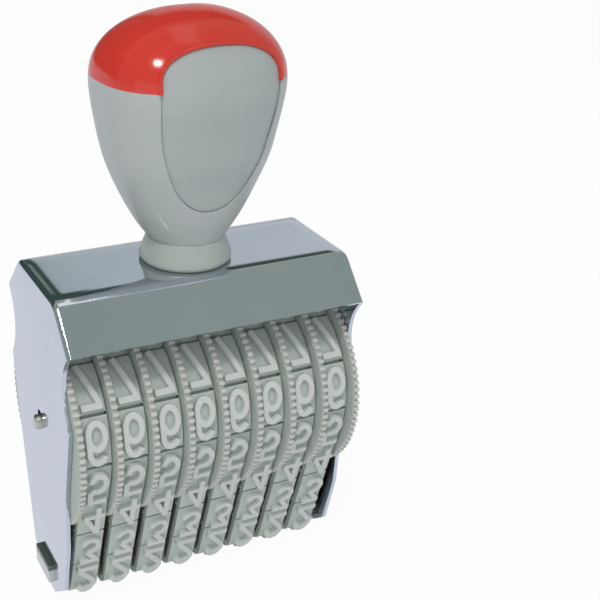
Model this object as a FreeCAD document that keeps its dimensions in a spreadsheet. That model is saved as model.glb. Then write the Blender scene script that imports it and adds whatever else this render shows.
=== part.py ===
import FreeCAD, Part
import math
import os
import Sketcher

# A hand numbering stamp: eight endless rubber bands of raised numbers run over toothed setting
# wheels and down round an anvil bar, in a bent steel frame under a palm grip.
# Millimetres. X runs along the wheel axle, -Y is the front, +Z is up.
# The origin is on the printing face, at the middle of the frame.

SIZES = {
    # Frame, one stamping of sheet steel: top, two sides, a visor in front and one behind
    "sheet_thickness": 1.2,
    "top_depth": 31.5,
    "hood_room": 12.7,
    "visor_reach": 10.9,
    "visor_drop": 11.2,
    "visor_bend_radius": 4.5,
    "side_bend_radius": 1.6,
    "waist_dip": 4.9,
    "elbow_half_depth": 26.0,
    "elbow_rise": 10.4,
    "shin_height": 44.0,
    "front_shin": 20.9,
    "rear_shin": 20.4,
    "knee_height": 26.0,
    "front_knee": 20.3,
    "rear_knee": 15.8,
    "nose_height": 9.0,
    "front_nose": 16.3,
    "rear_nose": 11.8,
    "foot_height": 1.4,
    "front_foot": 7.2,
    "rear_foot": 5.0,
    "axle_slot_rise": 1.4,
    # Axle of the setting wheels
    "axle_height": 58.5,
    "axle_radius": 3.0,
    "journal_radius": 2.2,
    "journal_protrusion": 1.8,
    "end_chamfer": 0.4,
    # Setting wheels and the toothed end flange
    "wheel_count": 8,
    "wheel_pitch": 10.7,
    "stack_gap": 0.125,
    "flange_radius": 30.8,
    "flange_thickness": 1.75,
    "drum_radius": 23.4,
    "drum_wall": 1.8,
    "hub_radius": 8.0,
    "tooth_count": 90,
    "tooth_depth": 0.9,
    "notch_root_width": 0.9,
    "notch_mouth_width": 1.2,
    # Rubber number bands
    "band_thickness": 1.5,
    "relief": 3.1,
    "character_count": 15,
    "character_height": 11.5,
    "character_margin": 0.85,
    # Anvil bar that the bands turn round at the printing face
    "anvil_flat": 13.2,
    "anvil_corner_radius": 2.8,
    "anvil_height": 12.0,
    "tenon_depth": 12.4,
    "tenon_height": 6.1,
    "tenon_protrusion": 1.5,
    # Collar and palm grip
    "collar_height": 7.6,
    "collar_foot_radius": 12.6,
    "collar_rim_radius": 13.4,
    "collar_rim_height": 1.2,
    "neck_radius": 11.1,
    "grip_rise": 44.9,
    "grip_half_width": 26.2,
    "grip_half_depth": 21.8,
    "grip_turn": 4.6,
    "dome_rise": 18.1,
    "cap_edge_rise": 0.7,
    "grip_wall": 4.0,
    "grip_floor": 8.0,
    "panel_half_width": 17.6,
    "panel_tip_rise": 10.8,
    "panel_top_drop": 6.8,
    "panel_shoulder": 9.0,
    "panel_inset": 0.5,
    "panel_thickness": 1.8,
    # Bolt that holds the grip on the frame
    "bolt_radius": 3.0,
    "bolt_tip": 2.0,
    "bolt_head_flats": 10.0,
    "bolt_head_height": 4.0,
    "washer_radius": 6.0,
    "washer_thickness": 1.2,
    "nut_height": 5.0,
    # Clearances
    "running_gap": 0.08,
    "side_gap": 0.1,
    "band_gap": 0.3,
    "band_side_gap": 0.325,
    "slot_gap": 0.05,
    "anvil_gap": 0.1,
    "bolt_gap": 0.3,
    "seam_gap": 0.12,
    "overrun": 1.0,
}

# Outline of the grip, from the neck to its widest place: how far up, then how much of the growth
# from neck to grip the half width, the half depth and the squareness have made by there
GRIP_GROWTH_SHARES = (
    (0.00, 0.00, 0.00, 0.00),
    (0.08, 0.19, 0.12, 0.15),
    (0.24, 0.46, 0.32, 0.50),
    (0.44, 0.72, 0.53, 0.85),
    (0.64, 0.88, 0.72, 1.00),
    (0.83, 0.97, 0.90, 1.00),
    (1.00, 1.00, 1.00, 1.00),
)
# Places up the dome, as angles on a quarter circle
DOME_ANGLES = (14, 28, 42, 55, 67, 77, 84, 88)
# How square the outlines are: 2 is an ellipse. The dome is fuller from the front than the side.
NECK_POWER = 2.0
GRIP_POWER = 2.5
DOME_FRONT_POWER = 2.12
DOME_SIDE_POWER = 1.8
PANEL_TOP_POWER = 2.3
PANEL_TIP_POWER = 2.15
RING_POINTS = 28
FULL_TURN = 360

doc = FreeCAD.newDocument("NumberingMachine")
sheet = doc.addObject("Spreadsheet::Sheet", "Sizes")
for row, (alias, number) in enumerate(SIZES.items(), start=1):
    sheet.set(f"A{row}", alias)
    sheet.set(f"B{row}", str(number))
    sheet.setAlias(f"B{row}", alias)
doc.recompute()

NODES = []


def size(alias):
    """The number in the size table."""
    return float(sheet.get(alias))


def value(formula):
    """The number that a formula on the size table gives."""
    result = sheet.evalExpression(formula)
    return float(getattr(result, "Value", result))


def bind(thing, formulas):
    """Drive properties by formulas on the size table."""
    for path, formula in formulas.items():
        thing.setExpression(path, formula)


def new_body(name):
    """An empty body for one sub-part."""
    body = doc.addObject("PartDesign::Body", name)
    body.Label = name
    NODES.append(body)
    return body


def origin_feature(body, role):
    """One of the body's own origin planes or axes."""
    return next(item for item in body.Origin.OriginFeatures if item.Role == role)


def new_sketch(body, name, plane, offset=None):
    """An empty sketch on an origin plane, moved along its normal by a formula."""
    sketch = body.newObject("Sketcher::SketchObject", name)
    sketch.AttachmentSupport = [(origin_feature(body, plane), "")]
    sketch.MapMode = "FlatFace"
    if offset:
        sketch.setExpression("AttachmentOffset.Base.z", offset)
    return sketch


def hold_point(sketch, side, end, across, up, place, name):
    """Tie one point of a sketch to its two formulas."""
    for kind, formula, axis, number in (
        ("DistanceX", across, -2, place.x),
        ("DistanceY", up, -1, place.y),
    ):
        if formula == "0":
            sketch.addConstraint(Sketcher.Constraint("PointOnObject", side, end, axis))
        else:
            index = sketch.addConstraint(Sketcher.Constraint(kind, side, end, number))
            label = f"{name}_{kind}"
            sketch.renameConstraint(index, label)
            sketch.setExpression(f"Constraints.{label}", formula)


def hollow_arc(start, stop, radius):
    """The arc that dips into an anticlockwise outline between two of its corners."""
    chord = stop - start
    middle = (start + stop) * 0.5
    reach = math.sqrt(radius**2 - (chord.Length / 2) ** 2)
    outward = FreeCAD.Vector(chord.y, -chord.x, 0).normalize()
    centre = middle + outward * reach
    first = math.atan2(stop.y - centre.y, stop.x - centre.x)
    last = math.atan2(start.y - centre.y, start.x - centre.x)
    circle = Part.Circle(centre, FreeCAD.Vector(0, 0, 1), radius)
    return Part.ArcOfCircle(circle, first, last)


def outline(body, name, plane, corners, offset=None, hollows=None):
    """A closed anticlockwise outline. Two formulas place each corner, and a side named in
    hollows is an arc of that radius that dips inwards."""
    hollows = hollows or {}
    sketch = new_sketch(body, name, plane, offset)
    places = [FreeCAD.Vector(value(across), value(up), 0) for across, up in corners]
    count = len(places)
    ends = []
    for side in range(count):
        start = places[side]
        stop = places[(side + 1) % count]
        if side in hollows:
            sketch.addGeometry(hollow_arc(start, stop, value(hollows[side])))
            ends.append((2, 1))
        else:
            sketch.addGeometry(Part.LineSegment(start, stop))
            ends.append((1, 2))
    for side in range(count):
        following = (side + 1) % count
        sketch.addConstraint(
            Sketcher.Constraint("Coincident", side, ends[side][1], following, ends[following][0])
        )
    for side, (across, up) in enumerate(corners):
        hold_point(sketch, side, ends[side][0], across, up, places[side], f"corner_{side}")
    for side, formula in hollows.items():
        index = sketch.addConstraint(Sketcher.Constraint("Radius", side, value(formula)))
        sketch.renameConstraint(index, f"hollow_{side}")
        sketch.setExpression(f"Constraints.hollow_{side}", formula)
    return sketch


def ring(body, name, plane, up, radius, offset=None):
    """A circle centred across the plane, at a height given by a formula."""
    sketch = new_sketch(body, name, plane, offset)
    centre = FreeCAD.Vector(0, value(up), 0)
    sketch.addGeometry(Part.Circle(centre, FreeCAD.Vector(0, 0, 1), value(radius)))
    hold_point(sketch, 0, 3, "0", up, centre, "centre")
    index = sketch.addConstraint(Sketcher.Constraint("Radius", 0, value(radius)))
    sketch.renameConstraint(index, "radius")
    sketch.setExpression("Constraints.radius", radius)
    return sketch


def pad(body, name, sketch, length, middle=False, back=False):
    """Thicken a sketch along its normal, both ways from it if middle is set."""
    feature = body.newObject("PartDesign::Pad", name)
    feature.Profile = sketch
    feature.Midplane = middle
    feature.Reversed = back
    feature.setExpression("Length", length)
    return feature


def pocket(body, name, sketch, length, middle=False, back=False):
    """Cut a sketch's outline out of the body, and make sure that it cut something."""
    doc.recompute()
    before = body.Shape.Volume
    feature = body.newObject("PartDesign::Pocket", name)
    feature.Profile = sketch
    feature.Midplane = middle
    feature.Reversed = back
    feature.setExpression("Length", length)
    doc.recompute()
    if not body.Shape.Volume < before:
        raise RuntimeError(f"{name} cuts nothing")
    return feature


def turn(body, name, sketch, axis):
    """Turn a half section a full turn about one of the sketch's own axes."""
    feature = body.newObject("PartDesign::Revolution", name)
    feature.Profile = sketch
    feature.ReferenceAxis = (sketch, [axis])
    feature.Angle = FULL_TURN
    return feature


def rounded(body, name, places, radius):
    """Round the straight edges of a body whose middles are at the given places."""
    doc.recompute()
    last = body.Tip
    names = []
    for index, edge in enumerate(last.Shape.Edges, start=1):
        middle = edge.valueAt((edge.FirstParameter + edge.LastParameter) / 2)
        if any((middle - place).Length < size("slot_gap") for place in places):
            names.append(f"Edge{index}")
    rounds = body.newObject("PartDesign::Fillet", name)
    rounds.Base = (last, names)
    rounds.setExpression("Radius", radius)


def mirrored(corners):
    """The whole outline of a shape that is alike on both sides of its middle, from the corners
    of its right half, listed from the bottom up."""
    left = [(f"-({across})", up) for across, up in reversed(corners)]
    return corners + left


# Frame

STACK_LENGTH = "(Sizes.wheel_count * Sizes.wheel_pitch + Sizes.flange_thickness)"
INSIDE_WIDTH = f"({STACK_LENGTH} + 2 * Sizes.stack_gap)"
FRAME_WIDTH = f"({INSIDE_WIDTH} + 2 * Sizes.sheet_thickness)"
FRAME_HEIGHT = "(Sizes.axle_height + Sizes.flange_radius + Sizes.hood_room + Sizes.sheet_thickness)"
VISOR_ANGLE = "atan(Sizes.visor_drop / Sizes.visor_reach)"
TOP_EDGE = ("Sizes.top_depth / 2", FRAME_HEIGHT)
VISOR_EDGE = (f"{TOP_EDGE[0]} + Sizes.visor_reach", f"{TOP_EDGE[1]} - Sizes.visor_drop")
ELBOW = ("Sizes.elbow_half_depth", "(Sizes.axle_height + Sizes.elbow_rise)")
WAIST_CHORD_SQUARED = (
    f"(({VISOR_EDGE[0]} - {ELBOW[0]}) ^ 2 + ({VISOR_EDGE[1]} - {ELBOW[1]}) ^ 2)"
)
WAIST_RADIUS = f"({WAIST_CHORD_SQUARED} / (8 * Sizes.waist_dip) + Sizes.waist_dip / 2)"
BAND_STACK = "(Sizes.relief + Sizes.band_thickness)"


def make_frame():
    """Top, visors and side plates, with the slots for the axle and the anvil's tenons."""
    body = new_body("frame")
    inner_visor_edge = (
        f"{VISOR_EDGE[0]} - Sizes.sheet_thickness * sin({VISOR_ANGLE})",
        f"{VISOR_EDGE[1]} - Sizes.sheet_thickness * cos({VISOR_ANGLE})",
    )
    inner_top_edge = (
        f"{TOP_EDGE[0]} - Sizes.sheet_thickness * tan({VISOR_ANGLE} / 2)",
        f"{TOP_EDGE[1]} - Sizes.sheet_thickness",
    )
    outer_half = [VISOR_EDGE, TOP_EDGE]
    inner_half = [inner_visor_edge, inner_top_edge]
    inner_return = [(f"-({across})", up) for across, up in inner_half]
    hood_corners = mirrored(outer_half) + inner_return + list(reversed(inner_half))
    hood = outline(body, "hood_section", "YZ_Plane", hood_corners)
    pad(body, "hood", hood, FRAME_WIDTH, middle=True)

    lower = ("foot", "nose", "knee", "shin")
    upper = [ELBOW, VISOR_EDGE, TOP_EDGE]
    rear = [(f"Sizes.rear_{part}", f"Sizes.{part}_height") for part in lower]
    front = [(f"-Sizes.front_{part}", f"Sizes.{part}_height") for part in reversed(lower)]
    side_corners = rear + mirrored(upper) + front
    rear_elbow = len(lower)
    waists = {rear_elbow: WAIST_RADIUS, rear_elbow + 2 * len(upper) - 2: WAIST_RADIUS}
    for side, sign in (("left", "-"), ("right", "")):
        plate = outline(
            body, f"{side}_outline", "YZ_Plane", side_corners, f"{sign}{FRAME_WIDTH} / 2", waists
        )
        pad(body, f"{side}_side", plate, "Sizes.sheet_thickness", back=side == "right")

    across_frame = f"{FRAME_WIDTH} + 2 * Sizes.overrun"
    slot_radius = "Sizes.journal_radius + Sizes.slot_gap"
    slot_top = "Sizes.axle_height + Sizes.axle_slot_rise"
    for name, up in (("axle_seat", "Sizes.axle_height"), ("axle_slot_top", slot_top)):
        hole = ring(body, f"{name}_outline", "YZ_Plane", up, slot_radius)
        pocket(body, name, hole, across_frame, middle=True)
    slot_middle = outline(body, "axle_slot_outline", "YZ_Plane", [
        (f"-({slot_radius})", "Sizes.axle_height"),
        (slot_radius, "Sizes.axle_height"),
        (slot_radius, slot_top),
        (f"-({slot_radius})", slot_top),
    ])
    pocket(body, "axle_slot", slot_middle, across_frame, middle=True)

    tenon_half = "Sizes.tenon_depth / 2 + Sizes.slot_gap"
    tenon_top = f"{BAND_STACK} + Sizes.tenon_height + Sizes.slot_gap"
    tenon_slot = outline(body, "tenon_slot_outline", "YZ_Plane", [
        (f"-({tenon_half})", BAND_STACK),
        (tenon_half, BAND_STACK),
        (tenon_half, tenon_top),
        (f"-({tenon_half})", tenon_top),
    ])
    pocket(body, "tenon_slots", tenon_slot, across_frame, middle=True)

    bolt_hole = ring(body, "bolt_hole_outline", "XY_Plane", "0", "Sizes.bolt_radius + Sizes.bolt_gap")
    pocket(body, "bolt_hole", bolt_hole, f"{FRAME_HEIGHT} + Sizes.overrun", back=True)

    half_width = value(FRAME_WIDTH) / 2
    half_depth = size("top_depth") / 2
    top = value(FRAME_HEIGHT)
    visor_bends = [FreeCAD.Vector(0, sign * half_depth, top) for sign in (-1, 1)]
    rounded(body, "visor_bends", visor_bends, "Sizes.visor_bend_radius")
    side_bends = [FreeCAD.Vector(sign * half_width, 0, top) for sign in (-1, 1)]
    rounded(body, "side_bends", side_bends, "Sizes.side_bend_radius")


# Axle and anvil bar

def make_axle():
    """A steel rod with stepped ends that sit in the frame's slots and stand out of them."""
    body = new_body("axle")
    shoulder = f"{INSIDE_WIDTH} / 2"
    end = f"{FRAME_WIDTH} / 2 + Sizes.journal_protrusion"
    half = [
        (end, "0"),
        (end, "Sizes.journal_radius - Sizes.end_chamfer"),
        (f"{end} - Sizes.end_chamfer", "Sizes.journal_radius"),
        (shoulder, "Sizes.journal_radius"),
        (shoulder, "Sizes.axle_radius"),
    ]
    section = outline(body, "half_section", "XY_Plane", mirrored(half))
    turn(body, "rod", section, "H_Axis")
    body.setExpression("Placement.Base.z", "Sizes.axle_height")


def make_anvil_bar():
    """The bar behind the printing face, with tenons through both side plates."""
    body = new_body("anvil_bar")
    half_depth = "Sizes.anvil_flat / 2 + Sizes.anvil_corner_radius - Sizes.anvil_gap"
    corner = "Sizes.anvil_corner_radius + Sizes.anvil_gap"
    block = outline(body, "block_section", "YZ_Plane", [
        (f"-({half_depth})", BAND_STACK),
        (half_depth, BAND_STACK),
        (half_depth, f"{BAND_STACK} + Sizes.anvil_height"),
        (f"-({half_depth})", f"{BAND_STACK} + Sizes.anvil_height"),
    ])
    pad(body, "block", block, INSIDE_WIDTH, middle=True)
    places = []
    for sign in (-1, 1):
        places.append(FreeCAD.Vector(0, sign * value(half_depth), value(BAND_STACK)))
    rounded(body, "rounds", places, corner)
    tenons = outline(body, "tenon_section", "YZ_Plane", [
        ("-Sizes.tenon_depth / 2", BAND_STACK),
        ("Sizes.tenon_depth / 2", BAND_STACK),
        ("Sizes.tenon_depth / 2", f"{BAND_STACK} + Sizes.tenon_height"),
        ("-Sizes.tenon_depth / 2", f"{BAND_STACK} + Sizes.tenon_height"),
    ])
    pad(body, "tenons", tenons, f"{FRAME_WIDTH} + 2 * Sizes.tenon_protrusion", middle=True)


# Setting wheels

STACK_START = f"(-{STACK_LENGTH} / 2)"


def cut_teeth(body):
    """Square notches all round the flange, for the finger that sets the number."""
    notch = outline(body, "notch_outline", "YZ_Plane", [
        ("-Sizes.notch_root_width / 2", "Sizes.flange_radius - Sizes.tooth_depth"),
        ("Sizes.notch_root_width / 2", "Sizes.flange_radius - Sizes.tooth_depth"),
        ("Sizes.notch_mouth_width / 2", "Sizes.flange_radius + Sizes.tooth_depth"),
        ("-Sizes.notch_mouth_width / 2", "Sizes.flange_radius + Sizes.tooth_depth"),
    ])
    cut = pocket(body, "notch", notch, "Sizes.flange_thickness", back=True)
    teeth = body.newObject("PartDesign::PolarPattern", "teeth")
    teeth.Originals = [cut]
    teeth.Axis = (origin_feature(body, "X_Axis"), [""])
    teeth.Angle = FULL_TURN
    teeth.setExpression("Occurrences", "Sizes.tooth_count")
    body.Tip = teeth


def stand_in_stack(piece, steps):
    """Put a wheel on the axle, so many pitches along the stack."""
    bind(piece, {
        "Placement.Base.x": f"{STACK_START} + {steps} * Sizes.wheel_pitch",
        "Placement.Base.z": "Sizes.axle_height",
    })


def hang_on_drum(piece, steps):
    """Put a band over the drum of a wheel, so many pitches along the stack."""
    first = f"{STACK_START} + (Sizes.wheel_pitch + Sizes.flange_thickness) / 2"
    piece.setExpression("Placement.Base.x", f"{first} + {steps} * Sizes.wheel_pitch")


def make_first_wheel():
    """A moulded wheel: toothed flange on the left, drum for the band, and hub."""
    body = new_body("number_wheel_1")
    bore = "Sizes.axle_radius + Sizes.running_gap"
    flange = "Sizes.flange_thickness"
    width = "Sizes.wheel_pitch - Sizes.side_gap"
    drum_inside = "Sizes.drum_radius - Sizes.drum_wall"
    section = outline(body, "half_section", "XY_Plane", [
        ("0", bore),
        (width, bore),
        (width, "Sizes.hub_radius"),
        (flange, "Sizes.hub_radius"),
        (flange, drum_inside),
        (width, drum_inside),
        (width, "Sizes.drum_radius"),
        (flange, "Sizes.drum_radius"),
        (flange, "Sizes.flange_radius"),
        ("0", "Sizes.flange_radius"),
    ])
    turn(body, "disc_drum_and_hub", section, "H_Axis")
    cut_teeth(body)
    stand_in_stack(body, 0)
    return body


def make_end_flange():
    """The loose toothed disc that closes the last wheel."""
    body = new_body("end_flange")
    section = outline(body, "half_section", "XY_Plane", [
        ("0", "Sizes.axle_radius + Sizes.running_gap"),
        ("Sizes.flange_thickness", "Sizes.axle_radius + Sizes.running_gap"),
        ("Sizes.flange_thickness", "Sizes.flange_radius"),
        ("0", "Sizes.flange_radius"),
    ])
    turn(body, "disc", section, "H_Axis")
    cut_teeth(body)
    stand_in_stack(body, "Sizes.wheel_count")


def same_again(original, name):
    """A further sub-part of the same shape."""
    copied = doc.addObject("PartDesign::FeatureBase", f"{name}_shape")
    copied.BaseFeature = original
    body = new_body(name)
    body.Group = [copied]
    body.Tip = copied
    return body


# Number bands

class BandLine:
    """The closed line of a band's inner face, seen from the side, measured along the band's
    middle from the printing face: positive up the front, negative up the back."""

    def __init__(self):
        self.thickness = size("band_thickness")
        wheel = FreeCAD.Vector(0, 0, size("axle_height"))
        wheel_radius = size("drum_radius") + size("band_gap")
        corner_radius = size("anvil_corner_radius")
        corner_up = size("relief") + size("band_thickness") + corner_radius
        corner = FreeCAD.Vector(0, size("anvil_flat") / 2, corner_up)
        apart = wheel - corner
        tilt = math.asin((wheel_radius - corner_radius) / apart.Length)
        lean = tilt - math.atan2(corner.y, apart.z)
        self.pieces = []
        self.add_arc(wheel, wheel_radius, math.pi / 2, -lean)
        self.add_line(wheel, wheel_radius, corner, corner_radius, -lean)
        self.add_arc(corner, corner_radius, -lean, -math.pi / 2)
        opposite = FreeCAD.Vector(0, -corner.y, corner.z)
        self.add_line(corner, corner_radius, opposite, corner_radius, -math.pi / 2)
        self.add_arc(opposite, corner_radius, -math.pi / 2, lean - math.pi)
        self.add_line(opposite, corner_radius, wheel, wheel_radius, lean - math.pi)
        self.add_arc(wheel, wheel_radius, lean - math.pi, -3 * math.pi / 2)
        self.length = sum(piece["length"] for piece in self.pieces)
        reached = -self.length / 2
        for piece in self.pieces:
            piece["start"] = reached
            reached += piece["length"]

    def add_arc(self, centre, radius, first, last):
        """A stretch round a centre, from one angle to another."""
        middle_radius = radius + self.thickness / 2
        self.pieces.append({
            "centre": centre, "radius": radius, "first": first, "last": last,
            "length": middle_radius * abs(last - first),
        })

    def add_line(self, start_centre, start_radius, stop_centre, stop_radius, angle):
        """A straight stretch that two round ones lead into."""
        outward = FreeCAD.Vector(0, math.cos(angle), math.sin(angle))
        start = start_centre + outward * start_radius
        stop = stop_centre + outward * stop_radius
        self.pieces.append({
            "from": start, "to": stop, "outward": outward, "length": (stop - start).Length,
        })

    def point_on(self, piece, along, height):
        """A point on one piece of the line, so far along the band and so high above it."""
        share = (along - piece["start"]) / piece["length"]
        if "centre" in piece:
            angle = piece["first"] + share * (piece["last"] - piece["first"])
            reach = piece["radius"] + height
            return piece["centre"] + FreeCAD.Vector(0, math.cos(angle), math.sin(angle)) * reach
        return piece["from"] + (piece["to"] - piece["from"]) * share + piece["outward"] * height

    def edges(self, first, last, height):
        """Edges along the band between two places, at one height above its inner face."""
        found = []
        for piece in self.pieces:
            low = max(first, piece["start"])
            high = min(last, piece["start"] + piece["length"])
            if high <= low:
                continue
            start = self.point_on(piece, low, height)
            stop = self.point_on(piece, high, height)
            if "centre" in piece:
                middle = self.point_on(piece, (low + high) / 2, height)
                found.append(Part.Arc(start, middle, stop).toShape())
            else:
                found.append(Part.LineSegment(start, stop).toShape())
        return found

    def loop(self, height):
        """The closed line at one height above the inner face."""
        return Part.Wire(self.edges(-self.length / 2, self.length / 2, height))

    def strip(self, first, last, low, high):
        """The outline of a block on the band, between two places and two heights."""
        lower = self.edges(first, last, low)
        upper = self.edges(first, last, high)
        ends = []
        for index, corner in ((0, 0), (-1, -1)):
            below = lower[index].Vertexes[corner].Point
            above = upper[index].Vertexes[corner].Point
            ends.append(Part.LineSegment(below, above).toShape())
        return Part.Wire(Part.__sortEdges__(lower + upper + ends))


def make_first_band():
    """An endless rubber band with a raised block for each character."""
    line = BandLine()
    half_width = size("wheel_pitch") / 2 - size("flange_thickness") / 2 - size("band_side_gap")
    half_band = FreeCAD.Vector(half_width, 0, 0)
    half_block = FreeCAD.Vector(half_width - size("character_margin"), 0, 0)
    thickness = size("band_thickness")
    face = Part.Face(line.loop(thickness)).cut(Part.Face(line.loop(0)))
    face.translate(-half_band)
    strap = face.extrude(half_band * 2)
    count = int(size("character_count"))
    pitch = line.length / count
    blocks = []
    for index in range(count):
        middle = (index - (count - 1) / 2) * pitch
        half_height = size("character_height") / 2
        block = line.strip(
            middle - half_height, middle + half_height, thickness / 2, thickness + size("relief")
        )
        block.translate(-half_block)
        blocks.append(Part.Face(block).extrude(half_block * 2))
    band = doc.addObject("Part::Feature", "number_band_1")
    band.Label = "number_band_1"
    band.Shape = strap.fuse(blocks).removeSplitter().Solids[0]
    hang_on_drum(band, 0)
    NODES.append(band)
    return band


# Collar, bolt, washer and nut

def make_turned(name, corners, up):
    """A piece turned about the upright axis, with its foot at a height."""
    body = new_body(name)
    section = outline(body, "half_section", "XZ_Plane", corners)
    turn(body, "turned", section, "V_Axis")
    body.setExpression("Placement.Base.z", up)


def make_collar():
    """The collar between frame and grip, flared towards the frame."""
    bore = "Sizes.bolt_radius + Sizes.bolt_gap"
    make_turned("handle_collar", [
        (bore, "0"),
        ("Sizes.collar_foot_radius", "0"),
        ("Sizes.collar_rim_radius", "Sizes.collar_rim_height"),
        ("Sizes.neck_radius", "Sizes.collar_height"),
        (bore, "Sizes.collar_height"),
    ], FRAME_HEIGHT)


GRIP_FOOT = f"({FRAME_HEIGHT} + Sizes.collar_height)"
NUT_FOOT = f"({GRIP_FOOT} + Sizes.grip_floor)"
WASHER_FOOT = f"({FRAME_HEIGHT} - Sizes.sheet_thickness - Sizes.washer_thickness)"


def make_washer():
    """The washer between the bolt's head and the frame's top."""
    bore = "Sizes.bolt_radius + Sizes.bolt_gap"
    make_turned("bolt_washer", [
        (bore, "0"),
        ("Sizes.washer_radius", "0"),
        ("Sizes.washer_radius", "Sizes.washer_thickness"),
        (bore, "Sizes.washer_thickness"),
    ], WASHER_FOOT)


def hexagon(name, height, up):
    """A hexagonal prism, as wide across its flats as the bolt's head."""
    prism = doc.addObject("Part::Prism", name)
    prism.Polygon = 6
    bind(prism, {
        "Circumradius": "Sizes.bolt_head_flats / 2 / cos(30 deg)",
        "Height": height,
        "Placement.Base.z": up,
    })
    return prism


def rod(name, radius, height, up):
    """A plain round rod on the upright axis."""
    cylinder = doc.addObject("Part::Cylinder", name)
    bind(cylinder, {"Radius": radius, "Height": height, "Placement.Base.z": up})
    return cylinder


def make_bolt():
    """The bolt, from under the frame's top up into the grip."""
    bolt = doc.addObject("Part::Fuse", "handle_bolt")
    bolt.Base = hexagon("bolt_head", "Sizes.bolt_head_height", f"{WASHER_FOOT} - Sizes.bolt_head_height")
    shank_foot = f"{WASHER_FOOT} - Sizes.bolt_head_height / 2"
    shank_length = f"{NUT_FOOT} + Sizes.nut_height + Sizes.bolt_tip - ({shank_foot})"
    bolt.Tool = rod("bolt_shank", "Sizes.bolt_radius", shank_length, shank_foot)
    bolt.Label = "handle_bolt"
    NODES.append(bolt)


def make_nut():
    """The nut on the floor of the grip."""
    nut = doc.addObject("Part::Cut", "handle_nut")
    nut.Base = hexagon("nut_blank", "Sizes.nut_height", NUT_FOOT)
    tall = "Sizes.nut_height + 2 * Sizes.overrun"
    nut.Tool = rod("nut_bore", "Sizes.bolt_radius + Sizes.slot_gap", tall, f"{NUT_FOOT} - Sizes.overrun")
    nut.Label = "handle_nut"
    NODES.append(nut)


# Palm grip

def squarish(step, power):
    """One of the points of a closed squarish outline that reaches 1 each way."""
    angle = 2 * math.pi * step / RING_POINTS
    across = math.copysign(abs(math.cos(angle)) ** (2 / power), math.cos(angle))
    along = math.copysign(abs(math.sin(angle)) ** (2 / power), math.sin(angle))
    return across, along


def grip_ring(up, half_width, half_depth, power):
    """A closed squarish ring at one height."""
    points = []
    for step in range(RING_POINTS):
        across, along = squarish(step, power)
        points.append(FreeCAD.Vector(half_width * across, half_depth * along, up))
    curve = Part.BSplineCurve()
    curve.interpolate(Points=points, PeriodicFlag=True)
    return Part.Wire(curve.toShape())


def grip_solid(inset):
    """The grip's outer form, drawn in all round by an inset."""
    neck = size("neck_radius")
    foot = value(GRIP_FOOT)
    widest = foot + size("grip_rise")
    rings = []
    for rise, wide, deep, square in GRIP_GROWTH_SHARES:
        half_width = neck + wide * (size("grip_half_width") - neck)
        half_depth = neck + deep * (size("grip_half_depth") - neck)
        power = NECK_POWER + square * (GRIP_POWER - NECK_POWER)
        up = foot + rise * (widest - foot)
        rings.append(grip_ring(up, half_width - inset, half_depth - inset, power))
    for degrees in DOME_ANGLES:
        level = math.sin(math.radians(degrees))
        narrow = (1 - level**DOME_FRONT_POWER) ** (1 / DOME_FRONT_POWER)
        shallow = (1 - level**DOME_SIDE_POWER) ** (1 / DOME_SIDE_POWER)
        up = widest + (size("dome_rise") - inset) * level
        half_width = (size("grip_half_width") - inset) * narrow
        half_depth = (size("grip_half_depth") - inset) * shallow
        rings.append(grip_ring(up, half_width, half_depth, GRIP_POWER))
    return Part.makeLoft(rings, True)


def panel_block(margin, front):
    """An egg-shaped block from the grip's middle out past its front or its back."""
    foot = value(GRIP_FOOT)
    top = foot + size("grip_rise") + size("dome_rise") - size("panel_top_drop")
    centre_up = top - size("panel_shoulder")
    drop = centre_up - foot - size("panel_tip_rise")
    half_width = size("panel_half_width") + margin
    points = []
    for step in range(RING_POINTS):
        upper = 0 < step < RING_POINTS / 2
        across, along = squarish(step, PANEL_TOP_POWER if upper else PANEL_TIP_POWER)
        rise = (size("panel_shoulder") if upper else drop) + margin
        points.append(FreeCAD.Vector(half_width * across, 0, centre_up + rise * along))
    curve = Part.BSplineCurve()
    curve.interpolate(Points=points, PeriodicFlag=True)
    face = Part.Face(Part.Wire(curve.toShape()))
    reach = size("grip_half_depth") + size("overrun")
    return face.extrude(FreeCAD.Vector(0, -reach if front else reach, 0))


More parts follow.
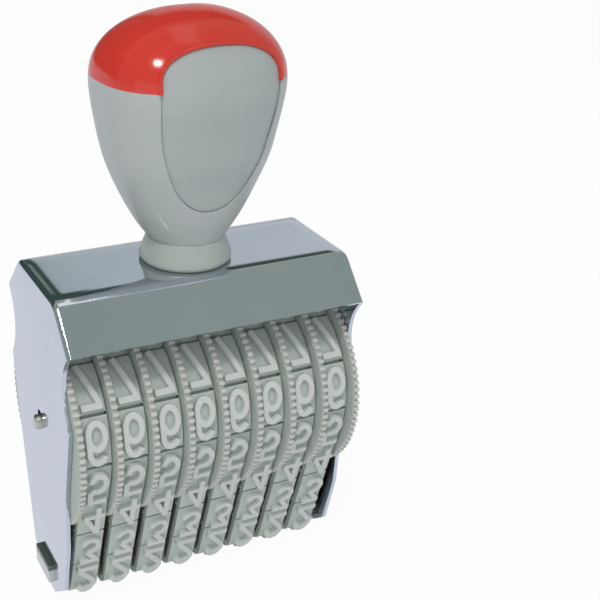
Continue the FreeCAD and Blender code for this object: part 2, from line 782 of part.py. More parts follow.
def make_grip():
    """The grip body, the cap over it, and a panel let into the front and the back of both, all
    turned a little on the bolt."""
    outer = grip_solid(0)
    hollow = grip_solid(size("grip_wall"))
    skin = grip_solid(size("panel_inset"))
    bed = grip_solid(size("panel_inset") + size("panel_thickness"))
    foot = value(GRIP_FOOT)
    wide = 2 * size("grip_half_width")
    deep = 2 * size("grip_half_depth")
    tall = size("grip_rise") + size("dome_rise")

    def slab(low, high):
        corner = FreeCAD.Vector(-wide / 2 - size("overrun"), -deep / 2 - size("overrun"), low)
        return Part.makeBox(wide + 2 * size("overrun"), deep + 2 * size("overrun"), high - low, corner)

    room = hollow.common(slab(foot + size("grip_floor"), foot + tall))
    bore = Part.makeCylinder(
        size("bolt_radius") + size("bolt_gap"), size("grip_floor") + 2 * size("overrun"),
        FreeCAD.Vector(0, 0, foot - size("overrun")),
    )
    shell = outer.cut([room, bore])
    panels = {}
    for name, front in (("front_panel", True), ("rear_panel", False)):
        panels[name] = panel_block(0, front).common(skin).cut(bed)
        shell = shell.cut(panel_block(size("seam_gap"), front).cut(bed))
    edge = foot + size("grip_rise") + size("cap_edge_rise")
    shapes = {
        "handle_body": shell.common(slab(foot - size("overrun"), edge)),
        "handle_cap": shell.common(slab(edge, foot + tall + size("overrun"))),
        **panels,
    }
    for name, shape in shapes.items():
        piece = doc.addObject("Part::Feature", name)
        piece.Label = name
        piece.Shape = shape.Solids[0] if len(shape.Solids) == 1 else shape
        piece.Placement = FreeCAD.Placement(
            FreeCAD.Vector(0, 0, 0), FreeCAD.Vector(0, 0, 1), size("grip_turn")
        )
        NODES.append(piece)


make_frame()
make_axle()
make_anvil_bar()
first_wheel = make_first_wheel()
first_band = make_first_band()
for step in range(1, int(size("wheel_count"))):
    stand_in_stack(same_again(first_wheel, f"number_wheel_{step + 1}"), step)
    hang_on_drum(same_again(first_band, f"number_band_{step + 1}"), step)
make_end_flange()
make_collar()
make_washer()
make_bolt()
make_nut()
make_grip()
doc.recompute()

for thing in doc.Objects:
    if {"Invalid", "Error"} & set(thing.State):
        raise RuntimeError(f"{thing.Name} failed: {thing.State}")
for node in NODES:
    if node.Shape.isNull() or not node.Shape.isValid() or len(node.Shape.Solids) != 1:
        raise RuntimeError(f"{node.Label} is not one valid solid")

os.makedirs("parts", exist_ok=True)
for node in NODES:
    node.Shape.exportStep(f"parts/{node.Label}.step")
    box = node.Shape.BoundBox
    print(
        f"{node.Label:18s} volume {node.Shape.Volume:9.1f}"
        f"  X {box.XMin:7.2f} {box.XMax:7.2f}  Y {box.YMin:7.2f} {box.YMax:7.2f}"
        f"  Z {box.ZMin:7.2f} {box.ZMax:7.2f}"
    )
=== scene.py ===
# %% [markdown]
# # A hand numbering stamp
# On a desk this stands ready to print a running number: eight endless rubber bands hang from
# toothed setting wheels and pass under an anvil bar at the foot, inside a bent chrome frame with
# a palm grip on top. The CAD model gives every size and place. This file gives the looks: it
# rounds the edges, moulds the figures on the bands and paints every surface.

# %% Load the CAD model
import math

import bmesh
import bpy
from mathutils import Matrix, Vector


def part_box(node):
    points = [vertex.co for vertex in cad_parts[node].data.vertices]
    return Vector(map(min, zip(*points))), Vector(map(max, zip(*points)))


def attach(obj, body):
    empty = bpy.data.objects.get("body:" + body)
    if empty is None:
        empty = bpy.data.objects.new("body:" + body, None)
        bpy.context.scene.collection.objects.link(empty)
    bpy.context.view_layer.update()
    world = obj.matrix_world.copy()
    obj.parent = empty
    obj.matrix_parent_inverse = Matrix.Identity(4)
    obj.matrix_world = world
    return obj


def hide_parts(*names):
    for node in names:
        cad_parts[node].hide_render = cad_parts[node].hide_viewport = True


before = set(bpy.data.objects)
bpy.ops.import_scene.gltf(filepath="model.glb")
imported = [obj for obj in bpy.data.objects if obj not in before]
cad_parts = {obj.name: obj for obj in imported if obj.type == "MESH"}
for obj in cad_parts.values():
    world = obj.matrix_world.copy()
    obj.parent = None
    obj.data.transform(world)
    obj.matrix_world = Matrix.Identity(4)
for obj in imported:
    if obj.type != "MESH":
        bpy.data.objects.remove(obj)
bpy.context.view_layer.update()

MM = 0.001

# %% [markdown]
# ## Shader maths as plain expressions
# A finish is a small program made of nodes. Placing them by hand hides what they compute, so one
# class wraps a socket and lets ordinary arithmetic add Math nodes, and one method adds any other
# node. The same builder serves the materials, the floor and the world.

# %% A socket that can be used in sums
class Value:
    """One output socket of a node tree, usable in arithmetic."""

    def __init__(self, tree, socket):
        self.tree = tree
        self.socket = socket

    def maths(self, operation, first, second=0.0):
        node = self.tree.nodes.new("ShaderNodeMath")
        node.operation = operation
        for slot, given in zip(node.inputs, (first, second)):
            connect(self.tree, slot, given)
        return Value(self.tree, node.outputs[0])

    def __add__(self, other):
        return self.maths("ADD", self, other)

    def __radd__(self, other):
        return self.maths("ADD", other, self)

    def __sub__(self, other):
        return self.maths("SUBTRACT", self, other)

    def __rsub__(self, other):
        return self.maths("SUBTRACT", other, self)

    def __mul__(self, other):
        return self.maths("MULTIPLY", self, other)

    def __rmul__(self, other):
        return self.maths("MULTIPLY", other, self)

    def __truediv__(self, other):
        return self.maths("DIVIDE", self, other)

    def __pow__(self, other):
        return self.maths("POWER", self, other)

    def within(self, low, high):
        """0 below low, 1 above high, and a smooth rise between."""
        node = self.tree.nodes.new("ShaderNodeMapRange")
        node.interpolation_type = "SMOOTHSTEP"
        connect(self.tree, node.inputs["Value"], self)
        node.inputs["From Min"].default_value = low
        node.inputs["From Max"].default_value = high
        return Value(self.tree, node.outputs["Result"])


def connect(tree, slot, given):
    """Put a number, a colour or a link on an input socket."""
    if isinstance(given, Value):
        tree.links.new(given.socket, slot)
    else:
        slot.default_value = given


# %% A builder of node trees
class Finish:
    """A node tree, with one method that adds any node to it."""

    def __init__(self, name, owner=None):
        self.owner = owner or bpy.data.materials.new(name)
        self.owner.use_nodes = True
        self.tree = self.owner.node_tree
        if owner is None:
            self.shader = self.tree.nodes["Principled BSDF"]

    def node(self, kind, settings=None, sockets=None, output=0):
        """Add a node: its settings first, then the values or links of its sockets."""
        made = self.tree.nodes.new(kind)
        for name, given in (settings or {}).items():
            if name == "stops":
                ramp = made.color_ramp
                while len(ramp.elements) < len(given):
                    ramp.elements.new(0.5)
                for element, (position, tint) in zip(ramp.elements, given):
                    element.position = position
                    element.color = tint
            else:
                setattr(made, name, given)
        for name, given in (sockets or {}).items():
            connect(self.tree, made.inputs[name], given)
        return Value(self.tree, made.outputs[output]) if made.outputs else made

    def place(self):
        """Where a point is on the piece, in metres."""
        return self.node("ShaderNodeTexCoord", output="Object")

    def part_of(self, vector, axis):
        """One number of a vector."""
        return self.node("ShaderNodeSeparateXYZ", sockets={"Vector": vector}, output=axis)

    def noise(self, scale, detail=2.0, roughness=0.5, stretch=(1, 1, 1)):
        """Cloudy noise, so many clouds to the metre, drawn out along an axis by stretch."""
        place = self.node("ShaderNodeMapping", sockets={"Vector": self.place(), "Scale": stretch})
        return self.node("ShaderNodeTexNoise", sockets={
            "Vector": place, "Scale": scale, "Detail": detail, "Roughness": roughness,
        }, output="Fac")

    def blend(self, low, high, mask):
        """One colour where the mask is 0, the other where it is 1."""
        return self.node("ShaderNodeMix", {"data_type": "RGBA"}, {0: mask, 6: low, 7: high}, output=2)

    def bumps(self, height, strength, distance, normal=None):
        """Small relief from a height map, on the plain surface or on a normal that is given."""
        sockets = {"Height": height, "Strength": strength, "Distance": distance}
        if normal:
            sockets["Normal"] = normal
        return self.node("ShaderNodeBump", sockets=sockets)

    def vectors(self, operation, first, second=(0, 0, 0)):
        """Vector Math on two vectors."""
        return self.node("ShaderNodeVectorMath", {"operation": operation}, {0: first, 1: second})

    def surface(self, **sockets):
        """Set the main shader's sockets, with _ for a space in a socket's name."""
        for name, given in sockets.items():
            connect(self.tree, self.shader.inputs[name.replace("_", " ")], given)


def tint(red, green, blue):
    """A colour from the 0 to 255 numbers of a screen."""
    return tuple(((part / 255 + 0.055) / 1.055) ** 2.4 for part in (red, green, blue)) + (1.0,)


print("builder ready")

# %% [markdown]
# ## The camera
# The photograph was taken from the front left and above. Its place, turn and lens come from
# matching the frame's corners, the wheels' rims and the bands' lower ends to their pixels. The
# picture is a crop to the left of the lens axis, which a small sideways shift repeats.

# %% Set the camera
YAW, PITCH, ROLL = 0.4554, 0.4501, 0.0270
ahead = Vector((math.sin(YAW), math.cos(YAW), 0))
right = Vector((math.cos(YAW), -math.sin(YAW), 0))
forward = ahead * math.cos(PITCH) - Vector((0, 0, math.sin(PITCH)))
above = ahead * math.sin(PITCH) + Vector((0, 0, math.cos(PITCH)))
camera_right = right * math.cos(ROLL) + above * math.sin(ROLL)
camera_up = above * math.cos(ROLL) - right * math.sin(ROLL)
turned = Matrix((camera_right, camera_up, -forward)).transposed().to_4x4()

camera = bpy.data.objects.new("camera", bpy.data.cameras.new("camera"))
camera.matrix_world = Matrix.Translation((-0.12103, -0.26094, 0.22807)) @ turned
camera.data.sensor_width = 36
camera.data.lens = 65.55
camera.data.shift_x = 0.1583
camera.data.dof.use_dof = False
camera.data.clip_start = 0.01
bpy.context.scene.collection.objects.link(camera)
bpy.context.scene.camera = camera
bpy.context.scene.view_settings.view_transform = "Standard"
print("camera at", camera.location)

# %% [markdown]
# ## Light, floor and background
# The real stamp was shot on a white table under soft lamps. Chrome shows mostly what stands round
# it, so the world has two jobs: it lights matt surfaces evenly, and shiny ones see a room in it.
# Behind the stamp that room has a grey wall, darker to the left and upwards, with a tan shelf at its
# top. A window is high on the left, a dim greenish ceiling in front and the pale table below.

# %% The world
world = bpy.data.worlds.new("studio")
bpy.context.scene.world = world
sky = Finish("studio", world)
sky.tree.nodes.clear()
direction = sky.node("ShaderNodeTexCoord", output="Generated")
height = sky.part_of(direction, "Z")
sideways = sky.part_of(direction, "X")
depth = sky.part_of(direction, "Y")
wall = sky.node("ShaderNodeValToRGB", {"stops": [
    (0.02, tint(66, 80, 76)), (0.055, tint(150, 158, 146)), (0.09, tint(66, 80, 76)),
    (0.165, tint(72, 86, 82)), (0.205, tint(164, 174, 174)), (0.27, tint(186, 194, 195)),
    (0.50, tint(204, 209, 211)),
]}, {"Fac": sideways})
wall = sky.blend(wall, tint(66, 82, 78), height.within(0.50, 0.60))
ceiling = sky.node("ShaderNodeValToRGB", {"stops": [
    (0.0, tint(150, 160, 151)), (0.35, tint(159, 169, 161)), (0.60, tint(158, 168, 159)),
]}, {"Fac": sideways})
room = sky.blend(ceiling, wall, depth.within(0.34, 0.44))
shelf = depth.within(0.34, 0.37) - depth.within(0.44, 0.47)
room = sky.blend(room, tint(186, 180, 160), shelf * height.within(0.5, 0.6))
window = depth.within(-0.16, -0.10) - depth.within(0.33, 0.37)
window = window * (sideways.within(0.1, 0.2) - sideways.within(0.37, 0.42)) * height.within(0.5, 0.6)
room = sky.blend(room, tint(252, 252, 252), window)
table = sky.node("ShaderNodeValToRGB", {"stops": [
    (0.0, tint(238, 240, 246)), (0.6, tint(232, 235, 240)),
]}, {"Fac": sideways})
room = sky.blend(table, room, height.within(-0.06, 0.02))
soft = sky.node("ShaderNodeBackground", sockets={"Color": (0.93, 0.96, 1.0, 1.0), "Strength": 0.58})
seen = sky.node("ShaderNodeBackground", sockets={"Color": room, "Strength": 1.0})
white = sky.node("ShaderNodeBackground", sockets={"Color": (1, 1, 1, 1), "Strength": 1.0})
glossy = sky.node("ShaderNodeLightPath", output="Is Glossy Ray")
by_camera = sky.node("ShaderNodeLightPath", output="Is Camera Ray")
lit = sky.node("ShaderNodeMixShader", sockets={0: glossy, 1: soft, 2: seen})
whole = sky.node("ShaderNodeMixShader", sockets={0: by_camera, 1: lit, 2: white})
sky.node("ShaderNodeOutputWorld", sockets={"Surface": whole})
print("world nodes:", len(sky.tree.nodes))

# %% [markdown]
# ### Three soft lamps
# A small key lamp, high on the left, makes the one bright spot on the red cap. A wide dim lamp in
# front lifts the bands out of the shadow of the hood, and one low on the left stands for the light
# that a white table throws up.


# %% The lamps
def lamp(name, place, aim, size, power, colour=(1, 1, 1)):
    """A square soft lamp that points at a place."""
    light = bpy.data.lights.new(name, "AREA")
    light.size = size
    light.energy = power
    light.color = colour
    made = bpy.data.objects.new(name, light)
    look = (Vector(aim) - Vector(place)).to_track_quat("-Z", "Y")
    made.matrix_world = Matrix.Translation(place) @ look.to_matrix().to_4x4()
    bpy.context.scene.collection.objects.link(made)
    print(name, "at", tuple(place), power, "W")


lamp("key", (-0.305, -0.364, 0.86), (0, 0, 0.08), 0.14, 2.3, (1.0, 0.98, 0.95))
lamp("fill", (0.05, -0.75, 0.16), (0, 0, 0.05), 0.95, 0.85, (0.96, 0.98, 1.0))
lamp("bounce", (-0.50, -0.40, 0.06), (0, 0, 0.12), 0.60, 0.55)

# %% The floor
floor_finish = Finish("floor")
pale = floor_finish.blend(tint(240, 241, 243), tint(248, 248, 249), floor_finish.noise(6.0))
floor_finish.surface(Base_Color=pale, Roughness=0.8)
camera_ray = floor_finish.node("ShaderNodeLightPath", output="Is Camera Ray")
glossy_ray = floor_finish.node("ShaderNodeLightPath", output="Is Glossy Ray")
page = floor_finish.blend(tint(232, 234, 240), (1, 1, 1, 1), camera_ray)
glow = floor_finish.node("ShaderNodeEmission", sockets={"Color": page, "Strength": 1.0})
share = camera_ray * 0.96 + glossy_ray * 0.78
plain = Value(floor_finish.tree, floor_finish.shader.outputs["BSDF"])
shown = floor_finish.node("ShaderNodeMixShader", sockets={0: share, 1: plain, 2: glow})
connect(floor_finish.tree, floor_finish.tree.nodes["Material Output"].inputs["Surface"], shown)

ground = bmesh.new()
bmesh.ops.create_grid(ground, x_segments=4, y_segments=4, size=4.0)
floor_mesh = bpy.data.meshes.new("floor")
ground.to_mesh(floor_mesh)
ground.free()
floor_mesh.materials.append(floor_finish.owner)
floor = bpy.data.objects.new("floor", floor_mesh)
bpy.context.scene.collection.objects.link(floor)
print("floor laid")

# %% [markdown]
# ## The finishes
# Nine surfaces, each with its own colour, gloss and grain: bright plating, dull bar metal, steel,
# moulded wheels, rubber, satin plastic in three greys, and the red cap. All patterns are measured
# in metres on the piece, so a speck of plastic grain is as small as on the real thing. A pressed
# sheet is never quite flat next to its bends: it eases over for the last few millimetres. The
# plating gets that from its normals, which lean out near the edges of the top.

# %% Bright plating
chrome = Finish("chrome_plate")
TOP_EASE_X = (39.6 * MM, 43.2 * MM)
TOP_EASE_Y = (9.6 * MM, 14.4 * MM)
EASE_TILT = 0.19
spot = chrome.place()
x = chrome.part_of(spot, "X")
y = chrome.part_of(spot, "Y")
facing = chrome.node("ShaderNodeNewGeometry", output="Normal")
on_top = chrome.part_of(facing, "Z").within(0.90, 0.99)
lean_x = x.within(*TOP_EASE_X) - (0 - x).within(*TOP_EASE_X)
beside = chrome.part_of(chrome.vectors("ABSOLUTE", spot), "X").within(4 * MM, 7 * MM)
lean_y = (y.within(*TOP_EASE_Y) - (0 - y).within(*TOP_EASE_Y)) * beside
lean_over = chrome.node("ShaderNodeCombineXYZ", sockets={
    "X": lean_x * on_top * EASE_TILT, "Y": lean_y * on_top * EASE_TILT,
})
eased = chrome.vectors("NORMALIZE", chrome.vectors("ADD", facing, lean_over))
haze = chrome.noise(60.0, 3.0)
scuffs = chrome.noise(900.0, 3.0, 0.7, (1, 1, 0.12))
chrome.surface(
    Metallic=1.0,
    Base_Color=chrome.blend(tint(202, 208, 219), tint(214, 219, 228), haze),
    Roughness=0.07 + haze * 0.05 + scuffs.within(0.62, 0.75) * 0.10,
    Normal=chrome.bumps(chrome.noise(35.0, 1.0), 0.25, 0.0002, eased),
)
print(chrome.owner.name)

# %% Dull bar metal and plain steel
brass = Finish("anvil_brass")
stain = brass.noise(140.0, 4.0)
outside = brass.part_of(brass.vectors("ABSOLUTE", brass.place()), "X").within(44.2 * MM, 45.2 * MM)
drawn = brass.blend(tint(112, 108, 80), tint(146, 140, 108), stain)
# Painted reflection and shade on the end of the bar that stands out of the plate: a light tint below,
# with the metal made less shiny so the lamps light it, and a dark green-grey tint above.
upper_painted_shade = brass.part_of(brass.place(), "Z").within(8.6 * MM, 9.4 * MM)
cut = brass.blend(tint(206, 210, 208), tint(92, 106, 98), upper_painted_shade)
brass.surface(
    Metallic=0.9 - outside * 0.6,
    Base_Color=brass.blend(drawn, cut, outside),
    Roughness=0.30 - outside * 0.12 + stain * 0.16,
)
steel = Finish("pin_steel")
turning = steel.noise(2600.0, 2.0, 0.5, (0.05, 1, 1))
steel.surface(
    Metallic=1.0,
    Base_Color=steel.blend(tint(176, 176, 170), tint(214, 214, 208), turning),
    Roughness=0.22 + turning * 0.14,
)
print(brass.owner.name, steel.owner.name)

# %% Moulded wheels
wheel_plastic = Finish("wheel_plastic")
AXLE_HEIGHT = 58.5 * MM
spot = wheel_plastic.place()
across = wheel_plastic.part_of(spot, "Y")
up = wheel_plastic.part_of(spot, "Z") - AXLE_HEIGHT
from_axle = (across * across + up * up) ** 0.5
rim = from_axle.within(29.8 * MM, 30.3 * MM)
grain = wheel_plastic.noise(2400.0, 3.0)
body_tint = wheel_plastic.blend(tint(176, 184, 177), tint(188, 195, 188), grain)
rim_tint = wheel_plastic.blend(tint(198, 199, 191), tint(208, 208, 201), grain)
wheel_plastic.surface(
    Base_Color=wheel_plastic.blend(body_tint, rim_tint, rim),
    Roughness=0.46 + grain * 0.12,
    Normal=wheel_plastic.bumps(grain, 0.15, 0.00005),
)
print(wheel_plastic.owner.name)

# %% Rubber, with painted light on the printing faces
rubber = Finish("band_rubber")
relief = rubber.node("ShaderNodeAttribute", {"attribute_name": "relief"}, output="Fac")
dust = rubber.noise(700.0, 4.0, 0.6)
fine = rubber.noise(5200.0, 2.0)
# Painted light: the printing faces get a lighter tint than the sides of the pads and figures, chosen
# by their height in the relief attribute.
side_tint = rubber.blend(tint(188, 198, 190), tint(199, 207, 200), dust)
face_painted_light = rubber.blend(tint(204, 208, 203), tint(213, 216, 211), dust)
rubber.surface(
    Base_Color=rubber.blend(side_tint, face_painted_light, relief.within(0.35, 0.95)),
    Roughness=0.58 + fine * 0.14,
    Normal=rubber.bumps(fine, 0.12, 0.00004),
)
print(rubber.owner.name)


# %% Satin plastics and the red cap
def moulded(name, dark, light, roughness):
    """A moulded plastic with a fine leathery grain and faint clouds of colour."""
    finish = Finish(name)
    cloud = finish.noise(45.0, 2.0)
    pores = finish.noise(3400.0, 2.0)
    finish.surface(
        Base_Color=finish.blend(dark, light, cloud),
        Roughness=roughness + pores * 0.08,
        Normal=finish.bumps(pores, 0.10, 0.00004),
    )
    print(name)
    return finish


grip_plastic = moulded("grip_plastic", tint(174, 180, 178), tint(182, 187, 185), 0.30)
panel_plastic = moulded("panel_plastic", tint(168, 175, 173), tint(175, 181, 179), 0.36)
collar_plastic = moulded("collar_plastic", tint(166, 174, 168), tint(174, 181, 175), 0.30)
cap_plastic = moulded("cap_plastic", tint(206, 52, 40), tint(216, 60, 48), 0.10)

# %% Paint the CAD pieces
PAINT = {
    "frame": chrome, "anvil_bar": brass, "axle": steel, "handle_bolt": steel, "bolt_washer": steel,
    "handle_nut": steel, "end_flange": wheel_plastic, "handle_collar": collar_plastic,
    "handle_body": grip_plastic, "handle_cap": cap_plastic, "front_panel": panel_plastic,
    "rear_panel": panel_plastic,
}
for number in range(1, 9):
    PAINT[f"number_wheel_{number}"] = wheel_plastic
    PAINT[f"number_band_{number}"] = rubber
for name, finish in PAINT.items():
    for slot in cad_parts[name].material_slots:
        slot.material = finish.owner
print("painted", len(PAINT), "nodes")

# %% [markdown]
# ## Rounded edges
# No real edge is a perfect corner: stamping, turning and moulding all leave a small round that
# catches the light. A copy of each CAD solid has its triangles joined into whole faces, and a
# Bevel modifier rounds what is left of the sharp edges. Shading stays flat on the flat faces.

# %% A bead along chosen edges
def bead(shape, edges, radius):
    """Lay a small rounded bead along edges of a shape."""
    runs = bmesh.new()
    copies = {vert: runs.verts.new(vert.co) for edge in edges for vert in edge.verts}
    for edge in edges:
        runs.edges.new([copies[vert] for vert in edge.verts])
    mesh = bpy.data.meshes.new("runs")
    runs.to_mesh(mesh)
    runs.free()
    piece = bpy.data.objects.new("runs", mesh)
    bpy.context.scene.collection.objects.link(piece)
    bpy.ops.object.select_all(action="DESELECT")
    bpy.context.view_layer.objects.active = piece
    piece.select_set(True)
    bpy.ops.object.convert(target="CURVE")
    piece.data.bevel_depth = radius
    piece.data.bevel_resolution = 3
    bpy.ops.object.convert(target="MESH")
    shape.from_mesh(piece.data)
    print("bead of", len(edges), "edges,", len(piece.data.polygons), "faces")
    bpy.data.objects.remove(piece)


# %% A softened copy of a CAD solid
SHARP = math.radians(32)
SAME_PLACE = 0.002 * MM
SAME_LEVEL = 0.1 * MM
AS_MESHED = 0.05


def softened(node, body, radius, segments=2, crisp=False, lip=0.0, plain=0.8):
    """A copy of a CAD solid with its edges rounded, standing for it. Crisp leaves the edges at its
    top and foot sharp, and a lip puts a bead of that radius on the outer edges between them. Faces
    that turn by less than plain degrees become one."""
    shape = bmesh.new()
    shape.from_mesh(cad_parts[node].data)
    bmesh.ops.remove_doubles(shape, verts=shape.verts, dist=SAME_PLACE)
    bmesh.ops.dissolve_limit(
        shape, angle_limit=math.radians(plain), verts=shape.verts, edges=shape.edges,
    )
    weights = shape.edges.layers.float.new("bevel_weight_edge")
    levels = [corner[2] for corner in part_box(node)] if crisp else []
    runs = []
    for edge in shape.edges:
        if not edge.is_manifold or edge.calc_face_angle() <= SHARP:
            continue
        if any(all(abs(vert.co.z - level) < SAME_LEVEL for vert in edge.verts) for level in levels):
            continue
        edge[weights] = 1.0
        if edge.is_convex:
            runs.append(edge)
    if lip:
        bead(shape, runs, lip)
    mesh = bpy.data.meshes.new(f"{node}_soft")
    shape.to_mesh(mesh)
    shape.free()
    mesh.materials.clear()
    mesh.materials.append(PAINT[node].owner)
    mesh.shade_smooth()
    mesh.set_sharp_from_angle(angle=SHARP)
    piece = bpy.data.objects.new(f"{node}_soft", mesh)
    bpy.context.scene.collection.objects.link(piece)
    rounding = piece.modifiers.new("rounding", "BEVEL")
    rounding.width = radius
    rounding.segments = segments
    rounding.limit_method = "WEIGHT"
    rounding.harden_normals = True
    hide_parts(node)
    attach(piece, body)
    print(node, "softened,", len(mesh.polygons), "faces")
    return piece


# %% Soften the metal pieces, the collar and the wheels
softened("frame", "stamp_body", 0.5 * MM, segments=4)
softened("anvil_bar", "stamp_body", 0.25 * MM)
softened("axle", "stamp_body", 0.12 * MM)
softened("handle_collar", "stamp_body", 0.5 * MM, segments=3, plain=AS_MESHED)
for number in range(1, 9):
    softened(f"number_wheel_{number}", f"wheel_{number}", 0.10 * MM, segments=1)
softened("end_flange", "wheel_8", 0.10 * MM, segments=1)

# %% [markdown]
# ### The grip
# The parts of the grip meet at closed seams, so their level edges stay crisp and only the rims of
# the recesses are rounded. Round the panels the cap has a raised lip. It is laid on as a bead along
# the same edges, and takes the light on its crest.

# %% Soften the grip, cap and panels
softened("handle_body", "stamp_body", 0.25 * MM, crisp=True, plain=AS_MESHED)
softened("handle_cap", "stamp_body", 0.25 * MM, crisp=True, lip=0.6 * MM, plain=AS_MESHED)
for name in ("front_panel", "rear_panel"):
    softened(name, "stamp_body", 0.25 * MM, segments=3, plain=AS_MESHED)

# %% [markdown]
# ## The number bands
# Each band is an endless rubber strap with fifteen pads, and a raised figure on each pad. It
# hangs on its wheel, runs straight down and turns round the anvil bar. Modelling figures on a
# curved loop is awkward, so the band is made flat first, as it comes out of its mould, and then
# every point is carried round the loop: along the strap becomes along the path, and height
# above the strap becomes height above the path.

# %% The path of a band
STRAP = 1.5 * MM
FACE = 4.6 * MM
WHEEL_REACH = 23.7 * MM
CORNER_REACH = 2.8 * MM
FLAT = 6.6 * MM
CORNER_UP = FACE + CORNER_REACH
drop = AXLE_HEIGHT - CORNER_UP
between = math.hypot(FLAT, drop)
lean = math.asin((WHEEL_REACH - CORNER_REACH) / between) - math.atan2(FLAT, drop)
SWING = math.pi / 2 - lean
CORNER_END = FLAT + (CORNER_REACH + STRAP / 2) * SWING
straight = math.sqrt(between**2 - (WHEEL_REACH - CORNER_REACH) ** 2)
STRAIGHT_END = CORNER_END + straight
HALF_LOOP = STRAIGHT_END + (WHEEL_REACH + STRAP / 2) * (math.pi - SWING)
PITCH_ALONG = 2 * HALF_LOOP / 15
print(f"loop {2 * HALF_LOOP / MM:.2f} mm, pitch {PITCH_ALONG / MM:.2f} mm")


def round_the_loop(point):
    """Where a point of the flat band comes to lie: x stays, y runs along the loop from the
    printing face up the front, and z is the height above the strap's inner side."""
    along = abs(point.y)
    if along <= FLAT:
        out, up = along, FACE - point.z
    elif along <= CORNER_END:
        turn = (along - FLAT) / (CORNER_REACH + STRAP / 2)
        reach = CORNER_REACH + point.z
        out, up = FLAT + reach * math.sin(turn), CORNER_UP - reach * math.cos(turn)
    elif along <= STRAIGHT_END:
        reach = CORNER_REACH + point.z
        gone = along - CORNER_END
        out = FLAT + reach * math.sin(SWING) + gone * math.cos(SWING)
        up = CORNER_UP - reach * math.cos(SWING) + gone * math.sin(SWING)
    else:
        turn = SWING + (along - STRAIGHT_END) / (WHEEL_REACH + STRAP / 2)
        reach = WHEEL_REACH + point.z
        out, up = reach * math.sin(turn), AXLE_HEIGHT - reach * math.cos(turn)
    return Vector((point.x, -out if point.y > 0 else out, up))


# %% [markdown]
# ### The figures
# A figure is drawn as the middle lines of its strokes, in millimetres about its own centre. Each
# line is stood on edge as a ribbon and a Solidify modifier thickens it, more at its foot than at
# its face, as a figure has to be to leave its mould. Printing turns a figure over, so on the band
# each one stands mirrored: seen from the front they are upside down but not turned round.

# %% Middle lines of the figures
def bow(x, y, wide, high, first, last, steps=14):
    """Points on part of an oval, from one angle to another."""
    turns = [math.radians(first + (last - first) * step / steps) for step in range(steps + 1)]
    return [(x + wide * math.cos(turn), y + high * math.sin(turn)) for turn in turns]


A, B = 2.35, 4.95
six = [bow(0, -1.8, A, 3.15, 0, 360, 24), [(-A, -1.8), (-A, 1.0)] + bow(0, 2.2, A, 2.75, 180, 28)]
FIGURES = {
    "0": [bow(0, 2.6, A, A, 0, 180) + bow(0, -2.6, A, A, 180, 360)],
    "1": [[(0.6, -5.7), (0.6, 5.7)], [(0.6, 5.0), (-1.9, 3.3)]],
    "2": [bow(0, 2.6, A, A, 172, -32) + [(-2.3, -4.3), (-2.3, -4.95)], [(-3.1, -B), (3.1, -B)]],
    "3": [[(-2.8, B), (2.9, B)], [(2.2, B), (-0.7, 0.7)], bow(0, -2.3, A, 2.65, 112, -165)],
    "4": [[(1.2, 5.6), (-2.6, -1.7)], [(-3.1, -2.0), (3.1, -2.0)], [(1.2, 5.7), (1.2, -5.7)]],
    "5": [[(-2.3, B), (2.9, B)], [(-1.9, 5.2), (-2.1, 0.2)], bow(0, -2.1, A, 2.85, 142, -160)],
    "6": six,
    "7": [[(-3.0, B), (3.1, B)], [(2.5, B), (-1.7, -5.7)]],
    "8": [bow(0, 2.65, 2.1, 2.3, 0, 360, 22), bow(0, -2.3, A, 2.65, 0, 360, 24)],
    "9": [[(-x, -y) for x, y in line] for line in six],
    "-": [[(-2.3, 0), (2.3, 0)]],
    "/": [[(-2.0, -5.4), (2.0, 5.4)]],
    ".": [[(-0.9, -4.8), (0.9, -4.8)]],
    "+": [[(-2.6, 0), (2.6, 0)], [(0, -2.6), (0, 2.6)]],
    " ": [],
}
ORDER = "12345678" + "9-/.+ 0"
print(len(FIGURES), "figures,", len(ORDER), "places on a band")


# %% One pad with its figure
PAD_WIDTH = 8.3 * MM
PAD_LENGTH = 13.0 * MM
PAD_TOP = 2.9 * MM
SETTING = 2.0 * MM
STRAP_TOP = 0.9 * MM
STROKE_FOOT = 2.4 * MM
FACE_SHARE = 0.65


def finished(piece):
    """The mesh of an object with its modifiers worked in. The object is removed."""
    ready = piece.evaluated_get(bpy.context.evaluated_depsgraph_get())
    mesh = bpy.data.meshes.new_from_object(ready)
    bpy.data.objects.remove(piece)
    return mesh


def ribbons(lines, middle):
    """The strokes of a figure as thickened ribbons that stand on the strap."""
    shape = bmesh.new()
    weights = shape.verts.layers.deform.verify()
    for line in lines:
        closed = (Vector(line[0]) - Vector(line[-1])).length < 0.01
        points = line[:-1] if closed else line
        verts = [shape.verts.new((x * MM, middle - y * MM, STRAP_TOP)) for x, y in points]
        pairs = list(zip(verts, verts[1:])) + ([(verts[-1], verts[0])] if closed else [])
        edges = [shape.edges.new(pair) for pair in pairs]
        risen = bmesh.ops.extrude_edge_only(shape, edges=edges)["geom"]
        tops = [item for item in risen if isinstance(item, bmesh.types.BMVert)]
        bmesh.ops.translate(shape, vec=(0, 0, FACE - STRAP_TOP), verts=tops)
        for vert in verts:
            vert[weights][0] = 1.0
        for vert in tops:
            vert[weights][0] = FACE_SHARE
    mesh = bpy.data.meshes.new("strokes")
    shape.to_mesh(mesh)
    shape.free()
    piece = bpy.data.objects.new("strokes", mesh)
    bpy.context.scene.collection.objects.link(piece)
    piece.vertex_groups.new(name="width")
    thick = piece.modifiers.new("stroke", "SOLIDIFY")
    thick.thickness = STROKE_FOOT
    thick.offset = 0.0
    thick.use_even_offset = True
    thick.vertex_group = "width"
    mesh = finished(piece)
    piece = bpy.data.objects.new("strokes", mesh)
    bpy.context.scene.collection.objects.link(piece)
    return piece


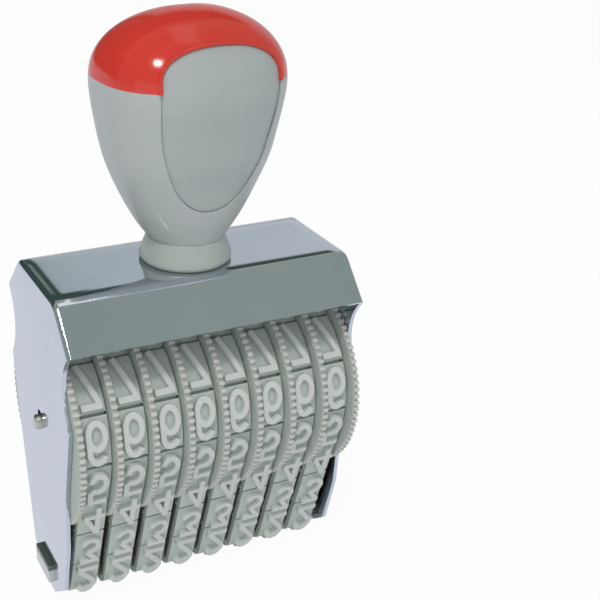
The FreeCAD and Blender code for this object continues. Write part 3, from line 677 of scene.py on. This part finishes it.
def pad(figure, middle):
    """A pad of the strap with its figure joined on."""
    shape = bmesh.new()
    bmesh.ops.create_cube(shape, size=1.0)
    bmesh.ops.scale(shape, vec=(PAD_WIDTH, PAD_LENGTH, PAD_TOP - 0.3 * MM), verts=shape.verts)
    bmesh.ops.translate(shape, vec=(0, middle, (PAD_TOP + 0.3 * MM) / 2), verts=shape.verts)
    mesh = bpy.data.meshes.new("pad")
    shape.to_mesh(mesh)
    shape.free()
    piece = bpy.data.objects.new("pad", mesh)
    bpy.context.scene.collection.objects.link(piece)
    strokes = None
    if FIGURES[figure]:
        strokes = ribbons(FIGURES[figure], middle)
        joining = piece.modifiers.new("figure", "BOOLEAN")
        joining.operation = "UNION"
        joining.solver = "EXACT"
        joining.use_self = True
        joining.object = strokes
    rounding = piece.modifiers.new("rounding", "BEVEL")
    rounding.width = 0.16 * MM
    rounding.segments = 1
    rounding.limit_method = "ANGLE"
    rounding.angle_limit = math.radians(40)
    mesh = finished(piece)
    if strokes:
        bpy.data.objects.remove(strokes)
    return mesh


print("a pad is", PAD_WIDTH / MM, "by", PAD_LENGTH / MM, "mm")

# %% The whole band, made flat
flat = bmesh.new()
bmesh.ops.create_cube(flat, size=1.0)
bmesh.ops.scale(flat, vec=(8.3 * MM, 2 * HALF_LOOP, STRAP_TOP), verts=flat.verts)
bmesh.ops.translate(flat, vec=(0, 0, STRAP_TOP / 2), verts=flat.verts)
ends = [face for face in flat.faces if abs(face.normal.y) > 0.9]
bmesh.ops.delete(flat, geom=ends, context="FACES_ONLY")
for place, figure in enumerate(ORDER):
    steps = place if place < 8 else place - 15
    flat.from_mesh(pad(figure, steps * PITCH_ALONG + SETTING))
print("flat band:", len(flat.faces), "faces")

# %% [markdown]
# ### Bending the band
# A long face can't bend, so before the band is carried round, cuts are made across it wherever
# the path curves: every few degrees on the wheel, closer together at the tight corners of the
# anvil bar. The pad that straddles the top of the wheel is the reason the loop starts and ends
# between two pads.

# %% Cut, bend and close the band
cuts = []
for step in range(1, 13):
    cuts.append(FLAT + (CORNER_END - FLAT) * step / 13)
for step in range(0, 36):
    cuts.append(STRAIGHT_END + (HALF_LOOP - STRAIGHT_END) * step / 36)
cuts += [FLAT, CORNER_END]
for cut in cuts:
    for sign in (-1, 1):
        bmesh.ops.bisect_plane(
            flat, geom=flat.verts[:] + flat.edges[:] + flat.faces[:], dist=0.001 * MM,
            plane_co=(0, sign * cut, 0), plane_no=(0, 1, 0),
        )
height_layer = flat.verts.layers.float.new("relief")
for vert in flat.verts:
    vert[height_layer] = (vert.co.z - PAD_TOP) / (FACE - PAD_TOP)
    vert.co = round_the_loop(vert.co)
bmesh.ops.remove_doubles(flat, verts=flat.verts, dist=0.01 * MM)
band_mesh = bpy.data.meshes.new("band")
flat.to_mesh(band_mesh)
flat.free()
band_mesh.materials.clear()
band_mesh.materials.append(rubber.owner)
band_mesh.shade_smooth()
band_mesh.set_sharp_from_angle(angle=math.radians(30))
print("bent band:", len(band_mesh.polygons), "faces")

# %% Hang a band on each wheel
for number in range(1, 9):
    low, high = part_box(f"number_band_{number}")
    mesh = band_mesh.copy()
    mesh.transform(Matrix.Translation(((low[0] + high[0]) / 2, 0, 0)))
    band = bpy.data.objects.new(f"figures_{number}", mesh)
    bpy.context.scene.collection.objects.link(band)
    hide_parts(f"number_band_{number}")
    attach(band, "stamp_body")
print("eight bands hung")
